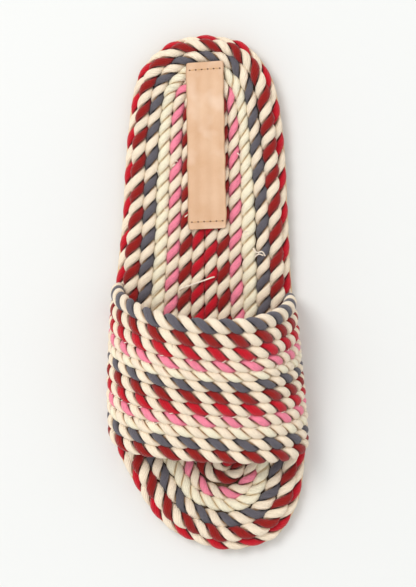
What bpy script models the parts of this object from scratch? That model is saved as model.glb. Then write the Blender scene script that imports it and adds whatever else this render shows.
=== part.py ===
"""Rope slide sandal, right shoe: toe towards +Y, outer side of the foot towards +X, floor at z = 0."""

import math

import bmesh
import bpy
import numpy as np

MM = 0.001

# Where the middle of the whole shoe lies from the heel back and from the heel axis.
MIDDLE_FROM_HEEL = 124.8 * MM
MIDDLE_FROM_AXIS = -0.8 * MM

# Sole edge: distance from the heel back, then half width on the outer and on the inner side.
EDGE_TABLE_MM = (
    (2.0, 13.5, 14.1),
    (6.6, 21.6, 22.3),
    (15.3, 30.0, 29.6),
    (27.9, 34.9, 34.7),
    (55.0, 38.2, 38.5),
    (90.0, 40.3, 40.2),
    (118.3, 43.2, 41.7),
    (154.6, 45.6, 45.4),
    (186.2, 45.4, 48.4),
    (204.6, 41.2, 48.3),
    (221.7, 31.8, 46.3),
    (231.3, 25.2, 43.0),
    (239.8, 17.0, 37.6),
    (245.4, 5.6, 31.0),
)
HEEL_BACK_MM = (-0.6, 0.0)
TOE_TIP_MM = (-12.0, 249.6)

# Height of the outsole underside over the floor: distance from the heel back, height.
UNDERSIDE_TABLE_MM = (
    (0.0, 3.3),
    (28.0, 3.3),
    (57.0, 2.5),
    (97.0, 1.7),
    (120.0, 0.7),
    (143.0, 0.0),
    (172.0, 0.0),
    (201.0, 0.6),
    (230.0, 1.2),
    (250.0, 2.0),
)

GAP = 0.3 * MM
OUTSOLE_THICKNESS = 2.0 * MM
HEEL_LENGTH = 51.0 * MM
HEEL_TAPER = 5.0 * MM
HEEL_INSET = 0.6 * MM
HEEL_CUTS = 20
HEEL_CUT_CROWDING = 1.8
HEEL_FRONT_THICKNESS = 0.6 * MM
EDGE_ROPE_RADIUS = 3.0 * MM
EDGE_ROPE_INSET = 3.4 * MM
RING_HALF_HEIGHT = 2.45 * MM
RING_HALF_WIDTH = 2.85 * MM
RING_GAP = 0.45 * MM
CORE_INSET = EDGE_ROPE_INSET + EDGE_ROPE_RADIUS + 0.6 * MM
EDGE_ROPE_LEVEL = OUTSOLE_THICKNESS + GAP + EDGE_ROPE_RADIUS
RING_LEVEL = EDGE_ROPE_LEVEL + EDGE_ROPE_RADIUS + GAP + RING_HALF_HEIGHT
FOOTBED_LEVEL = RING_LEVEL + RING_HALF_HEIGHT

# Middle line that the footbed ropes are laid around: distance from the heel back, sideways.
SPINE_TABLE_MM = (
    (37.0, -0.2),
    (90.0, 0.0),
    (125.0, 0.3),
    (165.0, -1.2),
    (195.0, -5.5),
    (208.6, -9.0),
)

# Share of the way from the sole edge to the middle line: at the heel, at the sides, at the toe.
RING_TABLE = (
    ("ring_rust", 0.125, 0.172, 0.158, 60),
    ("ring_grey", 0.285, 0.333, 0.322, 56),
    ("ring_cream", 0.440, 0.487, 0.477, 52),
    ("ring_pink", 0.595, 0.633, 0.635, 48),
    ("ring_dark_red", 0.750, 0.775, 0.785, 44),
    ("ring_core", 0.905, 0.912, 0.915, 40),
)
RING_BEND_SHARE = 0.45
TUBE_SIDES = 8
EDGE_ROPE_POINTS = 64

# Leather patch corners on the footbed: sideways, distance from the heel back.
PAD_CORNERS_MM = ((8.4, 14.0), (-8.4, 12.8), (-10.0, 93.6), (7.3, 94.4))
PAD_THICKNESS = 1.5 * MM
PAD_CORNER_RADIUS = 1.6 * MM
PAD_CUTS = 10

# Band over the foot: its front edge and its rear edge.
BAND_ROWS = 12
BAND_OUTER_BASE_MM = (192.0, 120.5)
BAND_INNER_BASE_MM = (199.5, 125.5)
BAND_CROWN_MM = (206.6, 137.8)
BAND_CROWN_HEIGHT_MM = (37.7, 64.3)
BAND_CROWN_SIDEWAYS = -7.0 * MM
BAND_FRONT_START = 0.9
BAND_REAR_START = 0.55
BAND_ROUNDNESS = 0.86
BAND_BULGE = 1.0 * MM
BAND_BASE_INSET = 1.7 * MM
BAND_BASE_LEVEL = EDGE_ROPE_LEVEL + EDGE_ROPE_RADIUS + GAP
ARCH_STEPS = 26
ROPE_SHARES = (0.0, 0.27, 0.73)
WALL_OUT = (1.5 * MM, 2.8 * MM)
WALL_IN = (1.1 * MM, 1.9 * MM)

COLOURS = {
    "outsole": ((0.81, 0.58, 0.35, 1.0), 0.6),
    "heel_lift": ((0.48, 0.25, 0.11, 1.0), 0.5),
    "insole": ((0.70, 0.56, 0.36, 1.0), 0.9),
    "edge_rope": ((0.64, 0.01, 0.02, 1.0), 0.85),
    "ring_rust": ((0.40, 0.02, 0.01, 1.0), 0.85),
    "ring_grey": ((0.11, 0.10, 0.13, 1.0), 0.85),
    "ring_cream": ((0.84, 0.71, 0.50, 1.0), 0.85),
    "ring_pink": ((0.87, 0.22, 0.33, 1.0), 0.85),
    "ring_dark_red": ((0.40, 0.02, 0.01, 1.0), 0.85),
    "ring_core": ((0.64, 0.01, 0.02, 1.0), 0.85),
    "upper": ((0.80, 0.55, 0.42, 1.0), 0.85),
    "heel_pad": ((0.81, 0.53, 0.32, 1.0), 0.45),
}


def clear_scene():
    """Remove every object that is already there."""
    for obj in list(bpy.data.objects):
        bpy.data.objects.remove(obj)


def make_material(name):
    """One Principled material for each piece."""
    colour, roughness = COLOURS[name]
    material = bpy.data.materials.new(name + "_material")
    material.use_nodes = True
    shader = material.node_tree.nodes["Principled BSDF"]
    shader.inputs["Base Color"].default_value = colour
    shader.inputs["Roughness"].default_value = roughness
    shader.inputs["Metallic"].default_value = 0.0
    return material


def add_object(name, data, collection):
    """Put mesh or curve data into the collection as a named object with its material."""
    data.materials.append(make_material(name))
    obj = bpy.data.objects.new(name, data)
    collection.objects.link(obj)
    return obj


def mesh_from(name, points, faces):
    """Mesh of the points and faces, with its faces turned outwards."""
    mesh = bpy.data.meshes.new(name)
    mesh.from_pydata([tuple(p) for p in points], [], faces)
    work = bmesh.new()
    work.from_mesh(mesh)
    bmesh.ops.recalc_face_normals(work, faces=work.faces)
    work.to_mesh(mesh)
    work.free()
    return mesh


def place(sideways, from_heel):
    """Point of the floor plan in the frame of the whole shoe."""
    return np.array((sideways - MIDDLE_FROM_AXIS, from_heel - MIDDLE_FROM_HEEL))


def from_heel(y):
    """Distance from the heel back of a place along the shoe."""
    return y + MIDDLE_FROM_HEEL


def steady_curve(table, x):
    """Smooth value through the table's rows that never swings past them."""
    xs = np.array([row[0] for row in table])
    ys = np.array([row[1] for row in table])
    slope = np.diff(ys) / np.diff(xs)
    lean = np.zeros(len(xs))
    lean[0] = slope[0]
    lean[-1] = slope[-1]
    for i in range(1, len(xs) - 1):
        if slope[i - 1] * slope[i] > 0:
            lean[i] = 2 * slope[i - 1] * slope[i] / (slope[i - 1] + slope[i])
    x = min(max(x, xs[0]), xs[-1])
    i = min(int(np.searchsorted(xs, x, side="right")) - 1, len(xs) - 2)
    width = xs[i + 1] - xs[i]
    t = (x - xs[i]) / width
    start = (1 + 2 * t) * (1 - t) ** 2 * ys[i] + t * (1 - t) ** 2 * width * lean[i]
    end = t * t * (3 - 2 * t) * ys[i + 1] - t * t * (1 - t) * width * lean[i + 1]
    return start + end


def underside(y):
    """Height of the outsole underside over the floor at a place along the shoe."""
    return steady_curve(UNDERSIDE_TABLE_MM, from_heel(y) / MM) * MM


def even_loop(points, count, bend_share=0.0):
    """The closed line through the points, cut evenly, with a share of the cuts kept for its bends."""
    points = np.asarray(points, float)
    ring = np.vstack([points, points[:1]])
    spans = np.diff(ring, axis=0)
    steps = np.linalg.norm(spans, axis=1)
    heading = np.arctan2(spans[:, 1], spans[:, 0])
    turns = np.abs((np.roll(heading, -1) - heading + math.pi) % (2 * math.pi) - math.pi)
    turns = 0.5 * (turns + np.roll(turns, 1)) + 1e-9
    steps = (1 - bend_share) * steps / steps.sum() + bend_share * turns / turns.sum()
    length = np.concatenate([[0.0], np.cumsum(steps)])
    wanted = np.linspace(0.0, length[-1], count, endpoint=False)
    return np.column_stack([np.interp(wanted, length, ring[:, k]) for k in range(ring.shape[1])])


def smooth_loop(corners, steps):
    """Closed curve through the corners, each span cut into the given number of steps."""
    corners = np.asarray(corners, float)
    count = len(corners)
    made = []
    for i in range(count):
        before, start, end, after = (corners[(i + k) % count] for k in (-1, 0, 1, 2))
        for t in np.arange(steps) / steps:
            bend = 2 * before - 5 * start + 4 * end - after
            swing = 3 * start - before - 3 * end + after
            made.append(0.5 * (2 * start + (end - before) * t + bend * t**2 + swing * t**3))
    return np.array(made)


def sole_edge():
    """Closed outline of the sole, from the heel back along the outer side to the toe and back."""
    outer = [place(row[1] * MM, row[0] * MM) for row in EDGE_TABLE_MM]
    inner = [place(-row[2] * MM, row[0] * MM) for row in reversed(EDGE_TABLE_MM)]
    heel = place(HEEL_BACK_MM[0] * MM, HEEL_BACK_MM[1] * MM)
    toe = place(TOE_TIP_MM[0] * MM, TOE_TIP_MM[1] * MM)
    return smooth_loop([heel] + outer + [toe] + inner, 12)


def inset(loop, distance):
    """The closed outline moved inwards by the distance."""
    ahead = np.roll(loop, -1, axis=0) - np.roll(loop, 1, axis=0)
    ahead /= np.linalg.norm(ahead, axis=1)[:, None]
    inwards = np.column_stack([-ahead[:, 1], ahead[:, 0]])
    return loop + inwards * distance


def half_width_at(loop, y, side):
    """Sideways place of the outline at y: side is +1 for the outer edge and -1 for the inner one."""
    half = loop[side * (loop[:, 0] - place(0.0, 0.0)[0]) > 0]
    half = half[np.argsort(half[:, 1])]
    return np.interp(y, half[:, 1], half[:, 0])


def slab(name, loop, low, high, collection):
    """Solid between two heights over the sole underside, lofted across from side to side."""
    count = len(loop)
    points = []
    for level in (low, high):
        points += [(x, y, level(y)) for x, y in loop]
    faces = []
    for i in range(count):
        j = (i + 1) % count
        faces.append((i, j, count + j, count + i))
    for i in range(count // 2):
        outer, outer_next = i, i + 1
        inner, inner_next = (count - i) % count, count - i - 1
        for base in (0, count):
            corners = [outer, outer_next, inner_next, inner]
            face = [base + k for n, k in enumerate(corners) if k not in corners[:n]]
            if len(face) > 2:
                faces.append(face)
    return add_object(name, mesh_from(name, points, faces), collection)


def make_outsole(edge, collection):
    """Thin sheet with the whole outline."""
    loop = even_loop(edge, 72)
    low = underside
    high = lambda y: underside(y) + OUTSOLE_THICKNESS
    obj = slab("outsole", loop, low, high, collection)
    bevel = obj.modifiers.new("edge", "BEVEL")
    bevel.width = 0.4 * MM
    bevel.segments = 1
    bevel.angle_limit = math.radians(60)


def make_insole(edge, collection):
    """Core board between the outsole and the footbed ropes, inside the edge rope."""
    loop = even_loop(inset(edge, CORE_INSET), 48)
    low = lambda y: underside(y) + OUTSOLE_THICKNESS + GAP
    high = lambda y: underside(y) + RING_LEVEL - RING_HALF_HEIGHT - GAP
    slab("insole", loop, low, high, collection)


def make_heel_lift(edge, collection):
    """Heel block: it follows the outline a little inside it and tapers off at its front."""
    loop = inset(edge, HEEL_INSET)
    front = place(0.0, HEEL_LENGTH)[1]
    points = []
    faces = []
    back = place(0.0, HEEL_INSET)[1]
    stations = back + np.linspace(0, 1, HEEL_CUTS) ** HEEL_CUT_CROWDING * (front - back)
    for y in stations:
        outer = half_width_at(loop, y, 1)
        inner = half_width_at(loop, y, -1)
        top = underside(y) - GAP
        low = min(max(0.0, (y - front + HEEL_TAPER) / HEEL_TAPER), 1.0) ** 2
        bottom = low * (top - HEEL_FRONT_THICKNESS)
        points += [(outer, y, bottom), (outer, y, top), (inner, y, top), (inner, y, bottom)]
    for i in range(len(stations) - 1):
        for k in range(4):
            a, b = 4 * i + k, 4 * i + (k + 1) % 4
            faces.append((a, b, b + 4, a + 4))
    last = 4 * (len(stations) - 1)
    faces.append((0, 1, 2, 3))
    faces.append((last, last + 1, last + 2, last + 3))
    add_object("heel_lift", mesh_from("heel_lift", points, faces), collection)


def make_edge_rope(edge, collection):
    """Round rope laid once round the sole, on the outsole."""
    loop = even_loop(inset(edge, EDGE_ROPE_INSET), EDGE_ROPE_POINTS)
    data = bpy.data.curves.new("edge_rope", "CURVE")
    data.dimensions = "3D"
    data.bevel_depth = EDGE_ROPE_RADIUS
    data.bevel_resolution = TUBE_SIDES // 4
    spline = data.splines.new("POLY")
    spline.points.add(len(loop) - 1)
    spline.use_cyclic_u = True
    for point, (x, y) in zip(spline.points, loop):
        point.co = (x, y, underside(y) + EDGE_ROPE_LEVEL, 1.0)
    add_object("edge_rope", data, collection)


def spine_point(y):
    """Point of the middle line nearest in length to y."""
    first, last = SPINE_TABLE_MM[0][0], SPINE_TABLE_MM[-1][0]
    along = min(max(from_heel(y) / MM, first), last)
    return place(steady_curve(SPINE_TABLE_MM, along) * MM, along * MM)


def ring_line(edge, heel, side, toe):
    """Plan of one footbed rope, as shares of the way from the sole edge to the middle line."""
    line = []
    for x, y in edge:
        middle = spine_point(y)
        reach = np.array((x, y)) - middle
        along = reach[1] / np.linalg.norm(reach)
        share = side + (toe - side) * max(along, 0.0) ** 2 + (heel - side) * max(-along, 0.0) ** 2
        line.append(middle + reach * (1 - share))
    return np.array(line)


def free_half_width(line, others):
    """Half the room that a rope has to the nearest rope beside it, at each point."""
    room = np.full(len(line), 2 * RING_HALF_WIDTH + RING_GAP)
    for other in others:
        dense = even_loop(other, 720)
        for i, point in enumerate(line):
            room[i] = min(room[i], np.min(np.linalg.norm(dense - point, axis=1)))
    return (room - RING_GAP) / 2


def make_ring(name, line, half_widths, collection):
    """Closed rope of the footbed: its section narrows where the ropes lie closer together."""
    count = len(line)
    ahead = np.roll(line, -1, axis=0) - np.roll(line, 1, axis=0)
    ahead /= np.linalg.norm(ahead, axis=1)[:, None]
    points = []
    faces = []
    for i, (x, y) in enumerate(line):
        across = np.array((-ahead[i][1], ahead[i][0]))
        level = underside(y) + RING_LEVEL
        for k in range(TUBE_SIDES):
            angle = 2 * math.pi * k / TUBE_SIDES
            out = across * half_widths[i] * math.cos(angle)
            points.append((x + out[0], y + out[1], level + RING_HALF_HEIGHT * math.sin(angle)))
            a = i * TUBE_SIDES + k
            b = i * TUBE_SIDES + (k + 1) % TUBE_SIDES
            c = (i + 1) % count * TUBE_SIDES
            faces.append((a, b, c + b % TUBE_SIDES, c + k))
    add_object(name, mesh_from(name, points, faces), collection)


def make_rings(edge, collection):
    """The footbed ropes, from the edge to the middle."""
    sparse = even_loop(edge, 240)
    full = [ring_line(sparse, *row[1:4]) for row in RING_TABLE]
    cut = [even_loop(line, row[4], RING_BEND_SHARE) for line, row in zip(full, RING_TABLE)]
    for i, row in enumerate(RING_TABLE):
        others = cut[max(i - 1, 0) : i] + cut[i + 1 : i + 2]
        make_ring(row[0], cut[i], free_half_width(cut[i], others), collection)


def make_heel_pad(collection):
    """Leather patch lying on the footbed ropes, its corners a little rounded."""
    corners = [np.array(c) * MM for c in PAD_CORNERS_MM]
    outline = []
    for i, corner in enumerate(corners):
        back = corners[i - 1] - corner
        onward = corners[(i + 1) % 4] - corner
        back *= PAD_CORNER_RADIUS / np.linalg.norm(back)
        onward *= PAD_CORNER_RADIUS / np.linalg.norm(onward)
        outline.append(corner + back)
        outline.append(corner + 0.29 * (back + onward))
        outline.append(corner + onward)
        if i % 2:
            span = corners[(i + 1) % 4] - corner - 2 * onward
            for k in range(1, PAD_CUTS):
                outline.append(corner + onward + span * k / PAD_CUTS)
    shift = place(0.0, 0.0)
    loop = [tuple(p + shift) for p in outline]
    half = len(loop) // 2
    loop = loop[1:] + loop[:1]
    points = []
    for level in (FOOTBED_LEVEL + GAP, FOOTBED_LEVEL + GAP + PAD_THICKNESS):
        points += [(x, y, underside(y) + level) for x, y in loop]
    faces = []
    count = len(loop)
    for i in range(count):
        j = (i + 1) % count
        faces.append((i, j, count + j, count + i))
    for base in (0, count):
        for i in range(half - 1):
            pair = (base + i, base + i + 1, base + count - 2 - i, base + count - 1 - i)
            faces.append(pair)
    add_object("heel_pad", mesh_from("heel_pad", points, faces), collection)


def along_band(pair, u):
    """Value between the front edge of the band and its rear edge."""
    return pair[0] + (pair[1] - pair[0]) * u


def lean(u, rise):
    """Share of the forward lean reached at a share of the height: early in front, late behind."""
    front = rise * (1 + BAND_FRONT_START) / (rise + BAND_FRONT_START)
    rear = BAND_REAR_START * rise + (1 - BAND_REAR_START) * rise**2
    return front + (rear - front) * u**0.7


def band_middle(edge, u, t):
    """Point in the middle of the band wall: u from front to rear, t from outer to inner side."""
    outer_y = place(0.0, along_band(BAND_OUTER_BASE_MM, u) * MM)[1]
    inner_y = place(0.0, along_band(BAND_INNER_BASE_MM, u) * MM)[1]
    crown_y = place(0.0, along_band(BAND_CROWN_MM, u) * MM)[1]
    outer_x = half_width_at(edge, outer_y, 1) - BAND_BASE_INSET
    inner_x = half_width_at(edge, inner_y, -1) + BAND_BASE_INSET
    crown_x = place(BAND_CROWN_SIDEWAYS, 0.0)[0]
    cosine = math.cos(math.pi * t)
    rise = math.sin(math.pi * t) ** BAND_ROUNDNESS
    side_x = outer_x if cosine > 0 else inner_x
    x = crown_x + (side_x - crown_x) * abs(cosine) ** BAND_ROUNDNESS
    x += math.copysign(BAND_BULGE, cosine) * 4 * rise * (1 - rise) * (1 - rise)
    share = (outer_x - x) / (outer_x - inner_x)
    base_y = outer_y + (inner_y - outer_y) * min(max(share, 0.0), 1.0)
    y = base_y + (crown_y - base_y) * lean(u, rise)
    base_z = underside(y) + BAND_BASE_LEVEL
    z = base_z + (along_band(BAND_CROWN_HEIGHT_MM, u) * MM - base_z) * rise
    return np.array((x, y, z))


def band_normal(edge, u, t):
    """Outward direction of the band wall."""
    small = 0.002
    t = min(max(t, small), 1 - small)
    across = band_middle(edge, u, t + small) - band_middle(edge, u, t - small)
    rear = band_middle(edge, min(u + small, 1.0), t) - band_middle(edge, max(u - small, 0.0), t)
    normal = np.cross(rear, across)
    return normal / np.linalg.norm(normal)


def make_upper(edge, collection):
    """Hollow arch over the foot: one wall with a raised strip for each rope, inside and outside."""
    stations = [(i + share) / BAND_ROWS for i in range(BAND_ROWS) for share in ROPE_SHARES] + [1.0]
    raised = [0.0 if share == 0.0 else 1.0 for _ in range(BAND_ROWS) for share in ROPE_SHARES] + [0.0]
    across = [0.5 - 0.5 * math.cos(math.pi * k / ARCH_STEPS) for k in range(ARCH_STEPS + 1)]
    ramp = np.linspace(0, 1, ARCH_STEPS + 1)
    across = [0.35 * a + 0.65 * b for a, b in zip(across, ramp)]
    width = len(across)
    points = []
    for wall, side in ((WALL_OUT, 1.0), (WALL_IN, -1.0)):
        for u, lift in zip(stations, raised):
            for k, t in enumerate(across):
                middle = band_middle(edge, u, t)
                thick = wall[0] + (wall[1] - wall[0]) * lift
                point = middle + band_normal(edge, u, t) * side * thick
                if k in (0, width - 1):
                    point[1] = middle[1]
                    point[2] = underside(middle[1]) + BAND_BASE_LEVEL
                points.append(point)
    inner = len(stations) * width
    faces = []
    for i in range(len(stations) - 1):
        for k in range(width - 1):
            a = i * width + k
            faces.append((a, a + 1, a + width + 1, a + width))
            faces.append((inner + a, inner + a + width, inner + a + width + 1, inner + a + 1))
        for a in (i * width, i * width + width - 1):
            faces.append((a, a + width, inner + a + width, inner + a))
    for k in range(width - 1):
        for a in (k, (len(stations) - 1) * width + k):
            faces.append((a, a + 1, inner + a + 1, inner + a))
    add_object("upper", mesh_from("upper", points, faces), collection)


def main():
    """Build every piece of the sandal."""
    clear_scene()
    collection = bpy.data.collections.new("rope_slide_sandal")
    bpy.context.scene.collection.children.link(collection)
    edge = sole_edge()
    make_outsole(edge, collection)
    make_insole(edge, collection)
    make_heel_lift(edge, collection)
    make_edge_rope(edge, collection)
    make_rings(edge, collection)
    make_heel_pad(collection)
    make_upper(edge, collection)


main()
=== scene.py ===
"""Looks of the rope slide sandal: twisted ropes, leather patch, thin sole, soft studio."""

import logging
import math
from dataclasses import dataclass
from enum import Enum
from typing import Any, Iterable, Sequence

import bmesh
import bpy
import numpy as np
from mathutils import Matrix, Vector

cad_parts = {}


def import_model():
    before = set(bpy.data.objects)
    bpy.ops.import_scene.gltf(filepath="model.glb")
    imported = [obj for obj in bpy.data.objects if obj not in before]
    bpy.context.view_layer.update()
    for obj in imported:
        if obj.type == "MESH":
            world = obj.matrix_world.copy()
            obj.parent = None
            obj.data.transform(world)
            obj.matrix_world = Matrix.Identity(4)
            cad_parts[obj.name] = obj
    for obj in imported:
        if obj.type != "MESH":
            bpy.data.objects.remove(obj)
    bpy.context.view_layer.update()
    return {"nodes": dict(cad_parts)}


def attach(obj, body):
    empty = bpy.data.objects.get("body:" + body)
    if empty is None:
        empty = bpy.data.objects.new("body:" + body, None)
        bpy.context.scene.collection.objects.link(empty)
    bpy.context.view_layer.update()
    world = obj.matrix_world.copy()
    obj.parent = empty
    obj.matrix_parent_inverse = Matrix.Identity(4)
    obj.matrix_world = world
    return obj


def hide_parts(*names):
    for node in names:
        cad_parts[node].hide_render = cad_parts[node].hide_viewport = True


LOG = logging.getLogger("rope_sandal")
MM = 0.001
IMAGE_HEIGHT = 587
UP = (0.0, 0.0, 1.0)
Colour = tuple[float, float, float]
Socket = bpy.types.NodeSocket
Piece = bpy.types.Object
Material = bpy.types.Material


def paint(red: float, green: float, blue: float) -> Colour:
    """Turn a colour as seen on a screen, 0 to 255, into the linear one that shaders take."""
    parts = [value / 255.0 for value in (red, green, blue)]
    return tuple(p / 12.92 if p <= 0.04045 else ((p + 0.055) / 1.055) ** 2.4 for p in parts)


class Slot(Enum):
    """Material slots of the record, carried by the strand finishes."""

    OUTSOLE = "outsole_tan"
    HEEL = "heel_brown"
    RED = "rope_red"
    RUST = "rope_rust"
    GREY = "rope_grey"
    CREAM = "rope_cream"
    PINK = "rope_pink"
    THREAD = "sewing_thread"
    LEATHER = "patch_leather"


class NodeSheet:
    """A node tree that is filled one node at a time."""

    def __init__(self, tree: bpy.types.NodeTree) -> None:
        """Keep the tree and clear what it starts with."""
        self.tree = tree
        tree.nodes.clear()

    def node(self, kind: str, settings: dict | None = None, inputs: dict | None = None) -> bpy.types.Node:
        """Add one node.

        Args:
            kind: Blender's name of the node's type.
            settings: Properties, set first.
            inputs: Values, sockets, wires or arrows by socket name or number.

        Returns:
            The new node.
        """
        made = self.tree.nodes.new(kind)
        for name, value in (settings or {}).items():
            setattr(made, name, value)
        for name, value in (inputs or {}).items():
            value = getattr(value, "socket", value)
            if isinstance(value, Socket):
                self.tree.links.new(value, made.inputs[name])
            else:
                made.inputs[name].default_value = value
        return made

    def out(self, kind: str, settings: dict | None = None, inputs: dict | None = None, output: Any = 0) -> Socket:
        """Add one node and give one of its outputs."""
        return self.node(kind, settings, inputs).outputs[output]

    def wire(self, *node: Any) -> "Wire":
        """Add one node and give one of its outputs as a number."""
        return Wire(self, self.out(*node))

    def arrow(self, *node: Any) -> "Arrow":
        """Add one node and give one of its outputs as a vector."""
        return Arrow(self, self.out(*node))

    def joined(self, x: Any = 0.0, y: Any = 0.0, z: Any = 0.0) -> Socket:
        """A vector of three numbers."""
        return self.out("ShaderNodeCombineXYZ", None, {0: x, 1: y, 2: z})

    def place(self) -> "Arrow":
        """Object coordinates, for a material."""
        return self.arrow("ShaderNodeTexCoord", None, None, "Object")

    def mark(self, name: str) -> "Wire":
        """A number that the mesh carries, for a material."""
        return self.wire("ShaderNodeAttribute", {"attribute_name": name}, None, "Fac")

    def noise(self, vector: Any, scale: float, detail: float = 2.0, rough: float = 0.5) -> "Wire":
        """Soft random number around one half; detail adds finer layers, rough their strength."""
        inputs = {"Vector": vector, "Scale": scale, "Detail": detail, "Roughness": rough}
        return self.wire("ShaderNodeTexNoise", None, inputs)

    def mix(self, share: Any, first: Any, second: Any, blend: str = "MIX") -> Socket:
        """Blend two colours.

        Args:
            share: Share of the second colour.
            first: First colour.
            second: Second colour.
            blend: Blender's name of the way to blend.

        Returns:
            The mixed colour.
        """
        tint = [(*c, 1.0) if isinstance(c, tuple) else c for c in (first, second)]
        settings = {"data_type": "RGBA", "blend_type": blend}
        return self.out("ShaderNodeMix", settings, {0: share, 6: tint[0], 7: tint[1]}, 2)

    def surface(self, inputs: dict[str, Any], height: Any = None, depth: float = 0.0) -> None:
        """End a material: Principled surface, with a bump where a height is given.

        Args:
            inputs: Principled inputs by name.
            height: Relief, as a number.
            depth: Height of the relief in metres.
        """
        if height is not None:
            bump = self.out("ShaderNodeBump", None, {"Height": height, "Distance": depth, "Strength": 1.0})
            inputs = {**inputs, "Normal": bump}
        shader = self.out("ShaderNodeBsdfPrincipled", None, inputs)
        self.node("ShaderNodeOutputMaterial", None, {"Surface": shader})


@dataclass
class Wire:
    """A number running through a node tree; arithmetic on it adds Math nodes."""

    sheet: NodeSheet
    socket: Socket

    def math(self, operation: str, *operands: Any) -> "Wire":
        """Add one Math node."""
        return self.sheet.wire("ShaderNodeMath", {"operation": operation}, dict(enumerate(operands)))

    def __add__(self, other: Any) -> "Wire":
        """Sum."""
        return self.math("ADD", self, other)

    def __sub__(self, other: Any) -> "Wire":
        """Difference."""
        return self.math("SUBTRACT", self, other)

    def __rsub__(self, other: Any) -> "Wire":
        """Difference with a plain number first."""
        return self.math("SUBTRACT", other, self)

    def __mul__(self, other: Any) -> "Wire":
        """Product."""
        return self.math("MULTIPLY", self, other)

    def __truediv__(self, other: Any) -> "Wire":
        """Quotient."""
        return self.math("DIVIDE", self, other)

    def __rtruediv__(self, other: Any) -> "Wire":
        """Quotient with a plain number first."""
        return self.math("DIVIDE", other, self)

    __radd__ = __add__
    __rmul__ = __mul__

    def clamp(self, low: float = 0.0, high: float = 1.0) -> "Wire":
        """Hold the number between two limits."""
        return self.math("MINIMUM", self.math("MAXIMUM", self, low), high)


@dataclass
class Arrow:
    """A vector running through a node tree; arithmetic on it adds Vector Math nodes."""

    sheet: NodeSheet
    socket: Socket

    def join(self, operation: str, inputs: dict, output: Any = 0) -> Socket:
        """Add one Vector Math node with this vector first."""
        return self.sheet.out("ShaderNodeVectorMath", {"operation": operation}, {0: self, **inputs}, output)

    def __add__(self, other: Any) -> "Arrow":
        """Sum."""
        return Arrow(self.sheet, self.join("ADD", {1: other}))

    def __sub__(self, other: Any) -> "Arrow":
        """Difference."""
        return Arrow(self.sheet, self.join("SUBTRACT", {1: other}))

    def __mul__(self, other: Any) -> "Arrow":
        """Product with a vector, part by part."""
        return Arrow(self.sheet, self.join("MULTIPLY", {1: other}))

    __radd__ = __add__
    __rmul__ = __mul__

    def scaled(self, factor: Any) -> "Arrow":
        """The vector made longer or shorter by a number."""
        return Arrow(self.sheet, self.join("SCALE", {"Scale": factor}))

    def dot(self, other: Any) -> Wire:
        """How far the vector reaches along another one."""
        return Wire(self.sheet, self.join("DOT_PRODUCT", {1: other}, "Value"))

    def length(self) -> Wire:
        """Length of the vector."""
        return Wire(self.sheet, self.join("LENGTH", {}, "Value"))

    def parts(self) -> tuple[Wire, Wire, Wire]:
        """The vector's three numbers."""
        made = self.sheet.node("ShaderNodeSeparateXYZ", None, {0: self})
        return tuple(Wire(self.sheet, output) for output in made.outputs)


def new_material(name: str) -> tuple[Material, NodeSheet]:
    """An empty node material and the sheet that fills it.

    Args:
        name: Name of the material.

    Returns:
        The material and its sheet.
    """
    material = bpy.data.materials.new(name)
    material.use_nodes = True
    return material, NodeSheet(material.node_tree)


@dataclass(frozen=True)
class StrandFinish:
    """Soft cotton strand: fine lengthwise fibres, uneven dye, and painted shade deep in the twist.

    The fibres' pattern is read along and around the strand, map_round being the map's width. deep is the colour of the
    painted shade in the twist.
    """

    name: str
    colour: Colour
    # Colour of the painted shade deep in the twist.
    deep: Colour
    slot: Slot
    mottle: float = 0.17
    ridges: float = 9.0
    map_round: float = 12.0
    fibre_along: float = 0.35
    fibre_around: float = 1.7
    coarse_scale: float = 140.0
    patchy_scale: float = 900.0
    ridge_lean: float = 0.9
    ridge_stray: float = 2.0
    tone_gain: float = 1.8
    tone_shares: tuple = (1.9, 0.9, 1.1, 0.14)
    height_shares: tuple = (0.8, 0.25, 0.45)
    brightest: float = 1.8
    groove_shade_share: float = 1.7
    relief: float = 0.36 * MM

    def material(self) -> Material:
        """Build the material, which reads the strand's own map in millimetres.

        Returns:
            The material.
        """
        material, sheet = new_material(self.name)
        strand_map = sheet.arrow("ShaderNodeAttribute", {"attribute_name": "strand_map"}, None, "Vector")
        along, around, _ = strand_map.parts()
        groove = sheet.mark("groove")
        place = sheet.place()
        run = along * self.fibre_along
        fibres = sheet.noise(sheet.joined(run, around * self.fibre_around + run), 1.0, 3.0, 0.6)
        coarse = sheet.noise(place, self.coarse_scale)
        patchy = sheet.noise(place, self.patchy_scale)
        turn = around * (self.ridges * math.tau / self.map_round) + along * self.ridge_lean + coarse * self.ridge_stray
        ply = turn.math("SINE", turn)
        fine, broad, spotty, ridged = self.tone_shares
        tone = (fibres - 0.5) * fine + (coarse - 0.5) * broad + (patchy - 0.5) * spotty + ply * ridged
        light = (tone * self.mottle * self.tone_gain + 1.0).clamp(0.0, self.brightest)
        base = sheet.mix(1.0, self.colour, sheet.joined(light, light, light), "MULTIPLY")
        # Painted shade: the colour turns towards deep where the strand lies deep in the rope's twist.
        base = sheet.mix((groove * groove * self.groove_shade_share).clamp(), base, self.deep)
        fine, ridged, spotty = self.height_shares
        inputs = {
            "Base Color": base,
            "Roughness": (fibres * 0.12 + 0.80).clamp(),
            "Sheen Weight": 0.25,
            "Sheen Roughness": 0.5,
            "Specular IOR Level": 0.25,
        }
        sheet.surface(inputs, fibres * fine + ply * ridged + patchy * spotty, self.relief)
        return material


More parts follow.
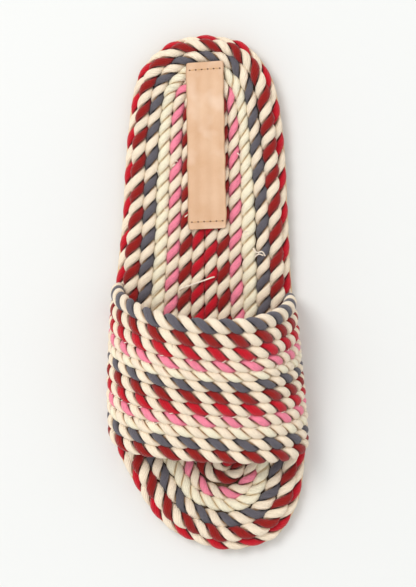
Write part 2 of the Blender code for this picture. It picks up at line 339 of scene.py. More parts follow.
@dataclass(frozen=True)
class LeatherFinish:
    """Bare natural leather: fine pores, faint clouding and lengthwise streaks, a darker cut edge, partly painted shade.
    """

    name: str = "patch_leather"
    colour: Colour = paint(219, 181, 147)
    dark: Colour = paint(201, 154, 114)
    pale: Colour = paint(232, 203, 178)
    edge_tone_and_shade: Colour = paint(150, 104, 68)
    streak_scales: tuple = (160.0, 90.0, 160.0)
    pore_scale: float = 1500.0
    grain_scale: float = 2600.0
    bloom_place: tuple = (0.31, 0.17, 0.0)
    rim_share: float = 0.75
    relief: float = 0.05 * MM

    def material(self) -> Material:
        """Build the material on object coordinates.

        Returns:
            The material.
        """
        material, sheet = new_material(self.name)
        place = sheet.place()
        cloud = sheet.noise(place, 60.0, 3.0, 0.55)
        streak = sheet.noise(place * self.streak_scales, 1.0, 3.0, 0.6)
        inputs = {"Vector": place, "Scale": self.pore_scale}
        pore = sheet.wire("ShaderNodeTexVoronoi", {"feature": "F1"}, inputs, "Distance")
        grain = sheet.noise(place, self.grain_scale)
        share = ((cloud - 0.5) * 1.5 + (streak - 0.5) * 0.35 + (grain - 0.5) * 0.5 + 0.28).clamp()
        base = sheet.mix(share, self.colour, self.dark)
        bloom = sheet.noise(place + self.bloom_place, 75.0)
        base = sheet.mix(((bloom - 0.52) * 3.0).clamp(0.0, 0.55), base, self.pale)
        # Darker rim: partly the cut edge's own colour, partly painted shade where the patch meets the ropes.
        rim = sheet.mark("rim")
        base = sheet.mix((rim * rim * self.rim_share).clamp(), base, self.edge_tone_and_shade)
        rough = (cloud * 0.16 + 0.46).clamp()
        inputs = {"Base Color": base, "Roughness": rough, "Specular IOR Level": 0.4}
        sheet.surface(inputs, pore * 0.7 + grain * 0.4, self.relief)
        return material


@dataclass(frozen=True)
class SheetFinish:
    """Thin sole sheet or heel block: matt, lightly speckled, with faint drawn lines at its edge."""

    name: str
    colour: Colour
    dark: Colour
    layers: float
    rough: float
    drawn_scale: float = 90.0
    relief: float = 0.08 * MM

    def material(self) -> Material:
        """Build the material on object coordinates.

        Returns:
            The material.
        """
        material, sheet = new_material(self.name)
        place = sheet.place()
        cloud = sheet.noise(place, 45.0, 4.0, 0.6)
        speck = sheet.noise(place, 1800.0)
        drawn = sheet.noise(place * (self.drawn_scale, self.drawn_scale, self.layers), 1.0)
        share = ((cloud - 0.5) * 1.2 + (speck - 0.5) * 0.7 + (drawn - 0.5) * 1.1 + 0.3).clamp()
        base = sheet.mix(share, self.colour, self.dark)
        rough = (speck * 0.2 + self.rough).clamp()
        inputs = {"Base Color": base, "Roughness": rough, "Specular IOR Level": 0.35}
        sheet.surface(inputs, speck * 0.6 + drawn * 0.6, self.relief)
        return material


@dataclass(frozen=True)
class CoreFinish:
    """Fibre board inside the sole, seen only as shadow between ropes."""

    name: str = "core_board"
    colour: Colour = paint(150, 118, 84)
    dark: Colour = paint(92, 66, 44)
    fibre_scales: tuple = (900.0, 250.0, 900.0)
    relief: float = 0.15 * MM

    def material(self) -> Material:
        """Build the material on object coordinates.

        Returns:
            The material.
        """
        material, sheet = new_material(self.name)
        fibre = sheet.noise(sheet.place() * self.fibre_scales, 1.0, 3.0, 0.6)
        base = sheet.mix(((fibre - 0.5) * 1.8 + 0.5).clamp(), self.colour, self.dark)
        sheet.surface({"Base Color": base, "Roughness": 0.9}, fibre, self.relief)
        return material


@dataclass(frozen=True)
class FloorFinish:
    """Plain pale studio paper."""

    name: str = "studio_floor"
    colour: Colour = paint(228, 229, 227)

    def material(self) -> Material:
        """Build the plain material.

        Returns:
            The material.
        """
        material, sheet = new_material(self.name)
        sheet.surface({"Base Color": (*self.colour, 1.0), "Roughness": 0.9, "Specular IOR Level": 0.1})
        return material


def steady_curve(table: Sequence[Sequence[float]], x: Any) -> np.ndarray:
    """Smooth values through a table's rows that never swing past them.

    Args:
        table: Rows of place and value.
        x: Places to read.

    Returns:
        The values.
    """
    xs, ys = np.array(table, float).T
    slope = np.diff(ys) / np.diff(xs)
    lean = np.zeros(len(xs))
    lean[0], lean[-1] = slope[0], slope[-1]
    for i in range(1, len(xs) - 1):
        if slope[i - 1] * slope[i] > 0:
            lean[i] = 2 * slope[i - 1] * slope[i] / (slope[i - 1] + slope[i])
    x = np.clip(np.asarray(x, float), xs[0], xs[-1])
    i = np.clip(np.searchsorted(xs, x, side="right") - 1, 0, len(xs) - 2)
    width = xs[i + 1] - xs[i]
    t = (x - xs[i]) / width
    start = (1 + 2 * t) * (1 - t) ** 2 * ys[i] + t * (1 - t) ** 2 * width * lean[i]
    return start + t * t * (3 - 2 * t) * ys[i + 1] - t * t * (1 - t) * width * lean[i + 1]


def smooth_loop(corners: np.ndarray, steps: int) -> np.ndarray:
    """Closed curve through corners.

    Args:
        corners: The points to pass.
        steps: Cuts in each span.

    Returns:
        Points of the curve.
    """
    made = []
    count = len(corners)
    for i in range(count):
        before, start, end, after = (corners[(i + k) % count] for k in (-1, 0, 1, 2))
        bend = 2 * before - 5 * start + 4 * end - after
        swing = 3 * start - before - 3 * end + after
        for t in np.arange(steps) / steps:
            made.append(0.5 * (2 * start + (end - before) * t + bend * t**2 + swing * t**3))
    return np.array(made)


def closed(rows: np.ndarray) -> np.ndarray:
    """The rows with the first one again at their end."""
    return np.concatenate([rows, rows[:1]])


def unit(rows: np.ndarray) -> np.ndarray:
    """The vectors made one long."""
    return rows / np.linalg.norm(rows, axis=1)[:, None]


def run_length(points: np.ndarray) -> np.ndarray:
    """Length of a line up to each of its points."""
    steps = np.linalg.norm(np.diff(points, axis=0), axis=1)
    return np.concatenate([[0.0], np.cumsum(steps)])


def even_loop(points: np.ndarray, count: int) -> np.ndarray:
    """The closed line through the points, cut into equal lengths.

    Args:
        points: Points of the line.
        count: Points wanted.

    Returns:
        The new points.
    """
    ring = closed(points)
    length = run_length(ring)
    wanted = np.linspace(0.0, length[-1], count, endpoint=False)
    return np.column_stack([np.interp(wanted, length, ring[:, k]) for k in range(ring.shape[1])])


def inwards(loop: np.ndarray) -> np.ndarray:
    """Unit directions pointing into a closed loop that runs counter-clockwise."""
    ahead = unit(np.roll(loop, -1, axis=0) - np.roll(loop, 1, axis=0))
    return np.column_stack([-ahead[:, 1], ahead[:, 0]])


def inset(loop: np.ndarray, distance: Any) -> np.ndarray:
    """The closed loop moved inwards."""
    return loop + inwards(loop) * distance


def softened(loop: np.ndarray, reach: int) -> np.ndarray:
    """The closed loop with each point averaged over its neighbours.

    Args:
        loop: Points of the loop.
        reach: Neighbours taken on each side.

    Returns:
        The softer loop.
    """
    weights = {k: 1.0 + math.cos(math.pi * k / (reach + 1)) for k in range(-reach, reach + 1)}
    return sum(w * np.roll(loop, k, axis=0) for k, w in weights.items()) / sum(weights.values())


@dataclass
class SolePlan:
    """Plan and heights of the sole, the same named sizes as the solids have.

    Tables are in millimetres. edge_table rows are distance from the heel back, outer and inner
    half width; spread_reach is where the inner side's rope rows wander.
    """

    middle_from_heel: float = 124.8 * MM
    middle_from_axis: float = -0.8 * MM
    edge_table: tuple = (
        (2.0, 13.5, 14.1),
        (6.6, 21.6, 22.3),
        (15.3, 30.0, 29.6),
        (27.9, 34.9, 34.7),
        (55.0, 38.2, 38.5),
        (90.0, 40.3, 40.2),
        (118.3, 43.2, 41.7),
        (154.6, 45.6, 45.4),
        (186.2, 45.4, 48.4),
        (204.6, 41.2, 48.3),
        (221.7, 31.8, 46.3),
        (231.3, 25.2, 43.0),
        (239.8, 17.0, 37.6),
        (245.4, 5.6, 31.0),
    )
    heel_back: tuple = (-0.6, 0.0)
    toe_tip: tuple = (-12.0, 249.6)
    underside_table: tuple = (
        (0.0, 3.3),
        (28.0, 3.3),
        (57.0, 2.5),
        (97.0, 1.7),
        (120.0, 0.7),
        (143.0, 0.0),
        (172.0, 0.0),
        (201.0, 0.6),
        (230.0, 1.2),
        (250.0, 2.0),
    )
    spine_table: tuple = ((37.0, -0.2), (90.0, 0.0), (125.0, 0.3), (165.0, -1.2), (195.0, -5.5), (204.4, -8.2))
    spread_reach: tuple = (14.0, 130.0)
    outsole_thickness: float = 2.0 * MM
    rope_level: float = 5.3 * MM
    ring_level: float = 11.05 * MM
    footbed_level: float = 13.5 * MM
    band_base_level: float = 8.6 * MM
    points: int = 720
    soft_reach: int = 7

    def place(self, sideways: float, from_heel: float) -> np.ndarray:
        """Point of the plan from its millimetres off the heel axis and from the heel back."""
        return np.array((sideways * MM - self.middle_from_axis, from_heel * MM - self.middle_from_heel))

    def along(self, from_heel: float) -> float:
        """Place along the shoe of a distance from the heel back in millimetres."""
        return from_heel * MM - self.middle_from_heel

    def underside(self, y: Any) -> np.ndarray:
        """Height of the outsole's underside over the floor."""
        return steady_curve(self.underside_table, (np.asarray(y) + self.middle_from_heel) / MM) * MM

    def over_bed(self, x: float, y: float, lift: float) -> tuple[float, float, float]:
        """Point at a height over the footbed."""
        return x, y, float(self.underside(y)) + self.footbed_level + lift

    def edge(self, count: int = 720) -> np.ndarray:
        """Closed outline of the sole, counter-clockwise from the heel back.

        Args:
            count: Points wanted.

        Returns:
            Points of the plan.
        """
        outer = [self.place(row[1], row[0]) for row in self.edge_table]
        inner = [self.place(-row[2], row[0]) for row in reversed(self.edge_table)]
        corners = [self.place(*self.heel_back), *outer, self.place(*self.toe_tip), *inner]
        return even_loop(smooth_loop(np.array(corners), 16), count)

    def side_at(self, loop: np.ndarray, y: Any, side: int) -> np.ndarray:
        """Sideways place of an outline.

        Args:
            loop: The outline.
            y: Places along the shoe.
            side: 1 for the outer edge and -1 for the inner one.

        Returns:
            The sideways places.
        """
        half = loop[side * (loop[:, 0] + self.middle_from_axis) > 0]
        half = half[np.argsort(half[:, 1])]
        return np.interp(y, half[:, 1], half[:, 0])

    def spine(self, y: np.ndarray) -> np.ndarray:
        """Nearest points of the middle line that the footbed ropes are laid around.

        Args:
            y: Places along the shoe.

        Returns:
            Points of the plan.
        """
        reach = (np.asarray(y) + self.middle_from_heel) / MM
        reach = np.clip(reach, self.spine_table[0][0], self.spine_table[-1][0])
        sideways = steady_curve(self.spine_table, reach) * MM - self.middle_from_axis
        return np.column_stack([sideways, reach * MM - self.middle_from_heel])

    def ring(self, heel: float, side: float, toe: float, spread: float) -> np.ndarray:
        """Plan of one footbed rope.

        Args:
            heel: Share of the way from the edge to the middle line at the heel.
            side: The same at the sides.
            toe: The same at the toe.
            spread: How far the rope lies further in beside the heel, and further out before the
                band, on the inner side.

        Returns:
            Points of the closed line.
        """
        edge = self.edge()
        middle = self.spine(edge[:, 1])
        reach = edge - middle
        ahead = unit(reach)[:, 1]
        share = side + (toe - side) * np.maximum(ahead, 0) ** 2 + (heel - side) * np.maximum(-ahead, 0) ** 2
        loop = even_loop(softened(middle + reach * (1 - share)[:, None], self.soft_reach), self.points)
        back, front = (self.along(place) for place in self.spread_reach)
        share = np.clip((loop[:, 1] - back) / (front - back), 0.0, 1.0)
        bump = np.sin(math.tau * share) * (loop[:, 0] < self.spine(loop[:, 1])[:, 0])
        return inset(loop, (spread * bump)[:, None])


@dataclass
class RopePath:
    """Middle line of one rope, with what its strands follow at each point.

    across is the direction towards the neighbouring ropes, narrow the share of full width that
    they leave, and turns the twist.
    """

    points: np.ndarray
    across: np.ndarray
    narrow: np.ndarray
    turns: np.ndarray
    closed: bool = False


def link_object(name: str, data: bpy.types.ID) -> Piece:
    """Show a mesh, curve, lamp or camera in the scene under a name.

    Args:
        name: Name of the object.
        data: What it shows.

    Returns:
        The object.
    """
    made = bpy.data.objects.new(name, data)
    bpy.context.scene.collection.objects.link(made)
    return made


def carry(mesh: bpy.types.Mesh, name: str, rows: Any) -> None:
    """Store a number or a vector on each point of a mesh.

    Args:
        mesh: The mesh.
        name: Name of the attribute.
        rows: The numbers or vectors.
    """
    rows = np.asarray(rows, float)
    kind, field = ("FLOAT_VECTOR", "vector") if rows.ndim == 2 else ("FLOAT", "value")
    mesh.attributes.new(name, kind, "POINT").data.foreach_set(field, rows.ravel())


def frozen(name: str, source: Piece) -> Piece:
    """Turn a curve or an object with live modifiers into a plain mesh object and drop the first.

    Args:
        name: Name of the new piece.
        source: The object to evaluate.

    Returns:
        The new object.
    """
    graph = bpy.context.evaluated_depsgraph_get()
    mesh = bpy.data.meshes.new_from_object(source.evaluated_get(graph), depsgraph=graph)
    mesh.name = name
    source.modifiers.clear()
    bpy.data.objects.remove(source)
    return link_object(name, mesh)


def mount_piece(piece: Piece, nodes: Iterable[str] = ()) -> None:
    """Tell the frame what a finished piece rides on and stands for, and log its triangles.

    Args:
        piece: The finished piece.
        nodes: Solids that it stands for.
    """
    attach(piece, "root")
    if nodes:
        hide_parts(*nodes)
    LOG.info("%s: %d triangles", piece.name, sum(len(p.vertices) - 2 for p in piece.data.polygons))


class GrowTree:
    """A Geometry Nodes tree with named inputs that grows a shape on an object's points."""

    def __init__(self, name: str, inputs: dict[str, str]) -> None:
        """Make the tree's inputs and output.

        Args:
            name: Name of the tree.
            inputs: Kind of each input by its name.
        """
        self.tree = bpy.data.node_groups.new(name, "GeometryNodeTree")
        self.sheet = NodeSheet(self.tree)
        face = self.tree.interface
        geometry = "NodeSocketGeometry"
        face.new_socket(name="Places", in_out="INPUT", socket_type=geometry)
        self.keys = {
            label: face.new_socket(name=label, in_out="INPUT", socket_type="NodeSocket" + kind).identifier
            for label, kind in inputs.items()
        }
        face.new_socket(name="Shape", in_out="OUTPUT", socket_type=geometry)
        self.given = self.sheet.node("NodeGroupInput").outputs

    def size(self, name: str) -> Wire:
        """One of the tree's named sizes."""
        return Wire(self.sheet, self.given[name])

    def named(self, name: str, kind: str = "FLOAT") -> Socket:
        """Read a named attribute."""
        return self.sheet.out("GeometryNodeInputNamedAttribute", {"data_type": kind}, {"Name": name})

    def store(self, shape: Any, name: str, value: Any, kind: str = "FLOAT", domain: str = "POINT") -> Socket:
        """Store a named attribute."""
        settings = {"data_type": kind, "domain": domain}
        return self.sheet.out("GeometryNodeStoreNamedAttribute", settings, {0: shape, "Name": name, "Value": value})

    def moved(self, shape: Any, socket: str, value: Any) -> Socket:
        """Set the points' Position, or give them an Offset."""
        return self.sheet.out("GeometryNodeSetPosition", None, {0: shape, socket: value})

    def smooth(self, shape: Any) -> Socket:
        """Shade a shape smooth."""
        return self.sheet.out("GeometryNodeSetShadeSmooth", None, {0: shape, "Shade Smooth": True})

    def finish(self, shape: Any) -> None:
        """End the tree with real geometry in its material.

        Args:
            shape: What the tree has made.
        """
        shape = self.sheet.out("GeometryNodeRealizeInstances", None, {0: shape})
        inputs = {"Geometry": shape, "Material": self.given["Finish"]}
        shape = self.sheet.out("GeometryNodeSetMaterial", None, inputs)
        self.sheet.node("NodeGroupOutput", None, {0: shape})

    def grow(self, name: str, source: Piece, values: dict[str, Any]) -> Piece:
        """Grow the tree on an object.

        Args:
            name: Name of the piece.
            source: The object, which is used up.
            values: Value of each input by its name.

        Returns:
            The piece.
        """
        modifier = source.modifiers.new("grow", "NODES")
        modifier.node_group = self.tree
        for label, value in values.items():
            modifier[self.keys[label]] = value
        return frozen(name, source)


@dataclass(frozen=True)
class StrandShape:
    """Section of one strand, as shares of the rope's radius, and how unevenly it is laid."""

    offset: float = 0.50
    deep: float = 0.54
    wide: float = 0.745
    full: float = 0.16
    sides: int = 12
    step: float = 0.75 * MM
    wander: float = 0.11
    swell: float = 0.10
    sway: float = 0.70 * MM
    plump: float = 1.06
    slim: float = 1.02
    by_colour: tuple = (("rust", 1.06), ("red", 1.07), ("grey", 0.95), ("pink", 0.94))


class StrandTree(GrowTree):
    """Winds one strand round a rope's middle line."""

    SEED = 7.3
    RISE_SCALE = 55.0
    SWAY_SCALE = 62.0
    DRIFT_SCALE = 34.0
    SWELL_SCALE = 150.0
    # Where the painted shade in the twist begins and how fast it deepens.
    GROOVE_START = 0.92
    GROOVE_GAIN = 1.9
    WELD = 0.12 * MM
    INPUTS = {
        "Step": "Float",
        "Strand Offset": "Float",
        "Strand Depth": "Float",
        "Strand Width": "Float",
        "Inner Fullness": "Float",
        "Strand Sides": "Int",
        "Phase Turns": "Float",
        "Twist Wander": "Float",
        "Swell": "Float",
        "Sway": "Float",
        "Caps": "Bool",
        "Finish": "Material",
    }

    def __init__(self) -> None:
        """Build the tree once."""
        super().__init__("wind_strand", self.INPUTS)
        self.finish(self.dressed(self.wound(self.centred())))

    def around(self, spot: Arrow, scale: float, shift: tuple = (0.0, 0.0, 0.0), detail: float = 1.0) -> Wire:
        """Slow random number around nought, up to one either way."""
        return (self.sheet.noise(spot + shift, scale, detail) - 0.5) * 2.0

    def centred(self) -> Socket:
        """The middle line, cut evenly, with the rows' sway.

        Returns:
            The curve.
        """
        sheet = self.sheet
        curve = sheet.out("GeometryNodeMeshToCurve", None, {0: self.given["Places"]})
        inputs = {"Curve": curve, "Length": self.given["Step"]}
        curve = sheet.out("GeometryNodeResampleCurve", {"mode": "LENGTH"}, inputs)
        rest = sheet.arrow("GeometryNodeInputPosition")
        across = Arrow(sheet, self.named("across", "FLOAT_VECTOR"))
        rise = self.around(rest, self.RISE_SCALE, (0.0, 0.0, self.SEED)) * self.size("Sway") * 0.5
        sway = across.scaled(self.around(rest, self.SWAY_SCALE) * self.size("Sway")) + sheet.joined(0.0, 0.0, rise)
        return self.moved(curve, "Offset", sway)

    def profile(self) -> Socket:
        """Section of the strand, set off from the rope's middle, its seam on the hidden side.

        Returns:
            The section curve.
        """
        sheet = self.sheet
        inputs = {"Resolution": self.given["Strand Sides"], "Radius": 1.0}
        circle = sheet.out("GeometryNodeCurvePrimitiveCircle", None, inputs)
        x, y, _ = sheet.arrow("GeometryNodeInputPosition").parts()
        new_x = self.size("Strand Offset") - x * self.size("Strand Depth")
        new_y = y * self.size("Strand Width") * -1.0 * (x * self.size("Inner Fullness") + 1.0)
        curve = self.store(circle, "around", sheet.out("GeometryNodeSplineParameter"))
        return self.moved(curve, "Position", sheet.joined(new_x, new_y))

    def wound(self, curve: Socket) -> Socket:
        """Turn the line's normal with the twist and sweep the section along it.

        Args:
            curve: The middle line.

        Returns:
            The raw strand.
        """
        sheet = self.sheet
        spot = sheet.arrow("GeometryNodeInputPosition")
        curve = self.store(curve, "middle", spot, "FLOAT_VECTOR")
        curve = self.store(curve, "run", sheet.out("GeometryNodeSplineParameter", None, None, "Length"))
        inputs = {"Curve": curve, "Normal": self.named("across", "FLOAT_VECTOR")}
        curve = sheet.out("GeometryNodeSetCurveNormal", {"mode": "FREE"}, inputs)
        drift = self.around(spot, self.DRIFT_SCALE, (self.SEED, 0.0, 0.0))
        swell = self.around(spot, self.SWELL_SCALE, (0.0, self.SEED, 0.0), 2.0)
        turn = Wire(sheet, self.named("turn")) + self.size("Phase Turns") + drift * self.size("Twist Wander")
        curve = sheet.out("GeometryNodeSetCurveTilt", None, {"Curve": curve, "Tilt": turn * math.tau})
        inputs = {
            "Curve": curve,
            "Profile Curve": self.profile(),
            "Scale": swell * self.size("Swell") + 1.0,
            "Fill Caps": self.given["Caps"],
        }
        return sheet.out("GeometryNodeCurveToMesh", None, inputs)

    def dressed(self, mesh: Socket) -> Socket:
        """Press the strand between its neighbours, store its maps and its painted shade mask, and close its seam.

        Args:
            mesh: The raw strand.

        Returns:
            The strand.
        """
        sheet = self.sheet
        spot = sheet.arrow("GeometryNodeInputPosition")
        middle = Arrow(sheet, self.named("middle", "FLOAT_VECTOR"))
        across = Arrow(sheet, self.named("across", "FLOAT_VECTOR"))
        out = spot - middle
        # Painted shade mask: one deep inside the rope's twist, falling to nought towards the strand's outside.
        reach = self.size("Strand Offset") + self.size("Strand Depth")
        groove = (self.GROOVE_START - out.length() / reach) * self.GROOVE_GAIN
        mesh = self.store(mesh, "groove", groove.clamp())
        narrow = Wire(sheet, self.named("narrow"))
        mesh = self.moved(mesh, "Offset", across.scaled(out.dot(across) * (narrow - 1.0)))
        run = Wire(sheet, self.named("run")) / MM
        around = Wire(sheet, self.named("around")) * StrandFinish.map_round
        mesh = self.store(mesh, "strand_map", sheet.joined(run, around), "FLOAT2", "CORNER")
        mesh = sheet.out("GeometryNodeMergeByDistance", None, {"Geometry": mesh, "Distance": self.WELD})
        return self.smooth(mesh)


class RopeMaker:
    """Lays coloured strands along rope paths."""

    def __init__(self, shape: StrandShape) -> None:
        """Build the tree and each strand material once.

        Args:
            shape: Section of the strands.
        """
        self.shape = shape
        self.tree = StrandTree()
        self.finishes = {
            # Each finish's second colour is its painted shade deep in the twist.
            "red": StrandFinish("strand_red", paint(196, 2, 30), paint(56, 0, 6), Slot.RED),
            "rust": StrandFinish("strand_rust", paint(148, 16, 8), paint(46, 2, 2), Slot.RUST),
            "grey": StrandFinish("strand_grey", paint(96, 92, 99), paint(24, 22, 27), Slot.GREY),
            "cream": StrandFinish("strand_cream", paint(249, 231, 205), paint(172, 130, 90), Slot.CREAM, 0.09),
            "ivory": StrandFinish("strand_ivory", paint(249, 239, 210), paint(224, 202, 162), Slot.CREAM, 0.09),
            "pink": StrandFinish("strand_pink", paint(250, 138, 162), paint(140, 36, 58), Slot.PINK),
        }
        self.materials = {name: finish.material() for name, finish in self.finishes.items()}

    def line_object(self, paths: Sequence[RopePath]) -> Piece:
        """Middle lines as one object of edges, with what the tree reads at each point.

        Args:
            paths: The rope paths.

        Returns:
            The object.
        """
        points = np.vstack([path.points for path in paths])
        starts = np.cumsum([0] + [len(path.points) for path in paths])
        edges = [(i, i + 1) for a, b in zip(starts, starts[1:]) for i in range(int(a), int(b) - 1)]
        mesh = bpy.data.meshes.new("rope_line")
        mesh.from_pydata([tuple(point) for point in points], edges, [])
        carry(mesh, "across", np.vstack([path.across for path in paths]))
        carry(mesh, "narrow", np.concatenate([path.narrow for path in paths]))
        carry(mesh, "turn", np.concatenate([path.turns for path in paths]))
        return link_object("rope_line", mesh)

    def lay(
        self, name: str, paths: Sequence[RopePath], radius: float, tint: str, nodes: Iterable[str], second: bool = False
    ) -> None:
        """Wind one strand along each of the paths and mount it.

        Args:
            name: Name of the piece.
            paths: The rope paths.
            radius: Radius of the rope.
            tint: Colour of the strand.
            nodes: Solids that it stands for.
            second: Whether it is the rope's second strand, half a turn on and plumper.
        """
        shape = self.shape
        size = radius * (shape.plump if second else shape.slim * dict(shape.by_colour).get(tint, 1.0))
        values = {
            "Step": shape.step,
            "Strand Offset": shape.offset * radius,
            "Strand Depth": shape.deep * size,
            "Strand Width": shape.wide * size,
            "Inner Fullness": shape.full,
            "Strand Sides": shape.sides,
            "Phase Turns": 0.5 if second else 0.0,
            "Twist Wander": shape.wander,
            "Swell": shape.swell,
            "Sway": shape.sway,
            "Caps": not paths[0].closed,
            "Finish": self.materials[tint],
        }
        mount_piece(self.tree.grow(name, self.line_object(paths), values), nodes)


@dataclass
class Footbed:
    """Ropes of the footbed and of the edge.

    ring_table rows are the solid's name, the rope's shares and spread for SolePlan.ring, and the
    colours of its two strands. core_match turns the innermost rope's two sides to meet each other.
    """

    plan: SolePlan
    maker: RopeMaker
    ring_table: tuple = (
        ("ring_rust", (0.134, 0.172, 0.172, 0.7 * MM), "rust", "cream"),
        ("ring_grey", (0.285, 0.333, 0.322, 1.3 * MM), "grey", "cream"),
        ("ring_cream", (0.440, 0.487, 0.477, 0.6 * MM), "ivory", "ivory"),
        ("ring_pink", (0.595, 0.633, 0.612, 0.0), "pink", "cream"),
        ("ring_dark_red", (0.750, 0.780, 0.785, 0.0), "rust", "cream"),
        ("ring_core", (0.905, 0.924, 0.918, 0.0), "red", "cream"),
    )
    core_match: float = 0.45
    ring_radius: float = 3.1 * MM
    ring_lay: float = 13.1 * MM
    ring_sink: float = 0.45 * MM
    nest_share: float = 0.55
    farthest: float = 2.3
    narrowest: float = 0.7
    widest: float = 1.25
    edge_radius: float = 3.25 * MM
    edge_inset: float = 3.3 * MM
    edge_lay: float = 17.0 * MM
    straight: tuple = (70.0, 185.0)
    start_share: float = 0.31

    def nested_turns(self, loop: np.ndarray, order: int) -> np.ndarray:
        """Twist that lets neighbouring ropes lie in each other's hollows along the sides.

        Args:
            loop: Plan of the closed rope, from the outer side over the toe.
            order: Number of the rope from the edge.

        Returns:
            Turns at each point and at the closing one, a whole number in all.
        """
        lay = self.ring_lay
        heel, toe = (self.plan.along(place) for place in self.straight)
        run = run_length(closed(loop))
        straight = (loop[:, 1] > heel) & (loop[:, 1] < toe)
        outside = loop[:, 0] > self.plan.spine(loop[:, 1])[:, 0]
        outer, inner = np.flatnonzero(outside & straight), np.flatnonzero(~outside & straight)
        ahead, again = outer[outer < inner[0]], outer[outer > inner[-1]]
        rising = loop[:, 1] / lay + order / 4
        falling = -loop[:, 1] / lay + order / 4
        over_toe = rising[ahead[-1]] + (run[inner[0]] - run[ahead[-1]]) / lay - falling[inner[0]]
        over_toe = round(over_toe * 2) / 2
        if order == len(self.ring_table) - 1:
            over_toe += self.core_match
        back = round(falling[inner[-1]] + over_toe + (run[again[0]] - run[inner[-1]]) / lay - rising[again[0]])
        places = np.concatenate([run[ahead], run[inner], run[again], run[-1:]])
        turns = [rising[ahead], falling[inner] + over_toe, rising[again] + back, [rising[0] + back]]
        return np.interp(run, places, np.concatenate(turns))

    def rope(
        self,
        node: str,
        loop: np.ndarray,
        level: float,
        narrow: np.ndarray,
        turns: np.ndarray,
        radius: float,
        tints: Sequence[str],
    ) -> None:
        """Two strands of one closed rope, standing for its solid.

        Args:
            node: Name of the solid.
            loop: Plan of the rope.
            level: Height of its middle over the sole's underside.
            narrow: Share of full width at each point.
            turns: Twist at each point and at the closing one.
            radius: Radius of the rope.
            tints: Colours of the two strands.
        """
        points = np.column_stack([loop, self.plan.underside(loop[:, 1]) + level])
        across = np.column_stack([inwards(loop), np.zeros(len(loop))])
        path = RopePath(closed(points), closed(across), closed(narrow), turns, True)
        for second, (ending, tint) in enumerate(zip(("_strand", "_partner"), tints)):
            self.maker.lay(node + ending, [path], radius, tint, [node], bool(second))

    def started(self, loop: np.ndarray) -> np.ndarray:
        """The loop begun under the band, where its joint is hidden."""
        return np.roll(loop, -int(len(loop) * self.start_share), axis=0)

    def build(self) -> None:
        """Make the edge rope and the rings."""
        plan = self.plan
        edge = self.started(even_loop(inset(plan.edge(), self.edge_inset), plan.points))
        run = run_length(closed(edge))
        turns = run / run[-1] * round(run[-1] / self.edge_lay)
        self.rope("edge_rope", edge, plan.rope_level, np.ones(len(edge)), turns, self.edge_radius, ("red", "cream"))
        rings = [self.started(plan.ring(*row[1])) for row in self.ring_table]
        for i, (node, _, *tints) in enumerate(self.ring_table):
            room = np.full(len(rings[i]), self.farthest * self.ring_radius)
            for other in rings[max(i - 1, 0) : i] + rings[i + 1 : i + 2]:
                gaps = np.linalg.norm(rings[i][:, None, :] - other[None, :, :], axis=2)
                room = np.minimum(room, gaps.min(axis=1))
            narrow = np.clip(self.nest_share * room / self.ring_radius, self.narrowest, self.widest)
            level = plan.ring_level - self.ring_sink
            self.rope(node, rings[i], level, narrow, self.nested_turns(rings[i], i), self.ring_radius, tints)


